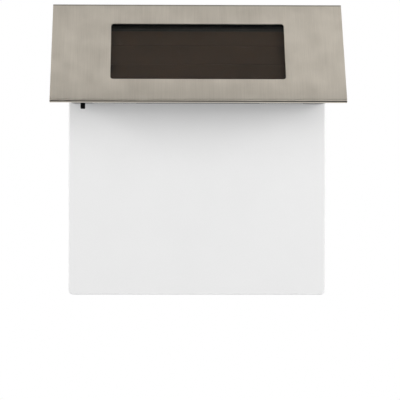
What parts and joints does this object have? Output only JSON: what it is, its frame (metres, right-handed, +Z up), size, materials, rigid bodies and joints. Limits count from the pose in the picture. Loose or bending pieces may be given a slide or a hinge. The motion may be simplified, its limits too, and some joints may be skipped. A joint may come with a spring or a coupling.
{
  "type": "solar wall light",
  "caption": "Solar wall light with a folded stainless hood, a solar pane in its slope and a black housing that lights an opal number panel, hung on two keyholes.",
  "frame": {"origin": "on the wall, midway between the round ends of the two keyholes", "axes": "+X to the right across the front, +Y into the wall, +Z up"},
  "size_m": [0.2, 0.0585, 0.2014],
  "materials": {
    "brushed_stainless": "up-and-down brushed sheet",
    "black_abs": "moulded, fine spark texture",
    "switch_black": "moulded",
    "switch_steel": "bright tin plate",
    "tinned_brass": "tinned",
    "opal_acrylic": "opal, satin front",
    "solar_glass": "clear float glass",
    "amorphous_silicon": "dark brown film",
    "busbar_grey": "dark grey print",
    "back_coat": "sprayed coat",
    "black_rubber": "closed-cell foam",
    "clear_polycarbonate": "clear moulding",
    "led_epoxy": "clear epoxy",
    "board_laminate": "solder mask",
    "chip_epoxy": "moulded epoxy",
    "ferrite": "sintered ferrite",
    "capacitor_sleeve": "shrunk sleeve",
    "screw_steel": "zinc plated",
    "plated_can": "nickel-plated steel",
    "battery_wrap": "shrunk plastic wrap",
    "contact_nickel": "nickel-plated spring steel",
    "wire_red": "extruded insulation",
    "wire_black": "extruded insulation",
    "wire_white": "extruded insulation"
  },
  "bodies": {
    "root": {"hood": "brushed_stainless", "housing": "black_abs", "back_plate": "black_abs", "switch_body": "switch_steel", "switch_pins": "tinned_brass", "number_panel": "opal_acrylic", "solar_glass": "solar_glass", "solar_cells": "amorphous_silicon", "busbar": "busbar_grey", "cell_backing": "back_coat", "pane_seal": "black_rubber", "light_windows": "clear_polycarbonate", "leds": "led_epoxy", "main_board": "board_laminate", "right_board": "board_laminate", "driver_chip": "chip_epoxy", "choke": "ferrite", "capacitor": "capacitor_sleeve", "board_screws": "screw_steel", "housing_screws": "screw_steel", "panel_screws": "screw_steel", "battery_can": "plated_can", "battery_sleeve": "battery_wrap", "negative_contact": "contact_nickel", "positive_contact": "contact_nickel", "contact_spring": "contact_nickel", "solar_wire_plus": "wire_red", "solar_wire_minus": "wire_black", "battery_wire_plus": "wire_red", "battery_wire_minus": "wire_black", "link_wires": "wire_white", "switch_wires": "wire_white"},
    "switch_knob": {"switch_knob": "switch_black"},
    "battery_door": {"battery_door": "black_abs", "door_gasket": "black_rubber", "door_screws": "screw_steel"}
  },
  "joints": [
    {"name": "switch_slide", "type": "slide", "parent": "root", "child": "switch_knob", "axis": [1, 0, 0], "range_m": [0, 0.002]},
    {"name": "door_lift", "type": "slide", "parent": "root", "child": "battery_door", "axis": [0, 0, -1], "range_m": [0, 0.03]}
  ]
}
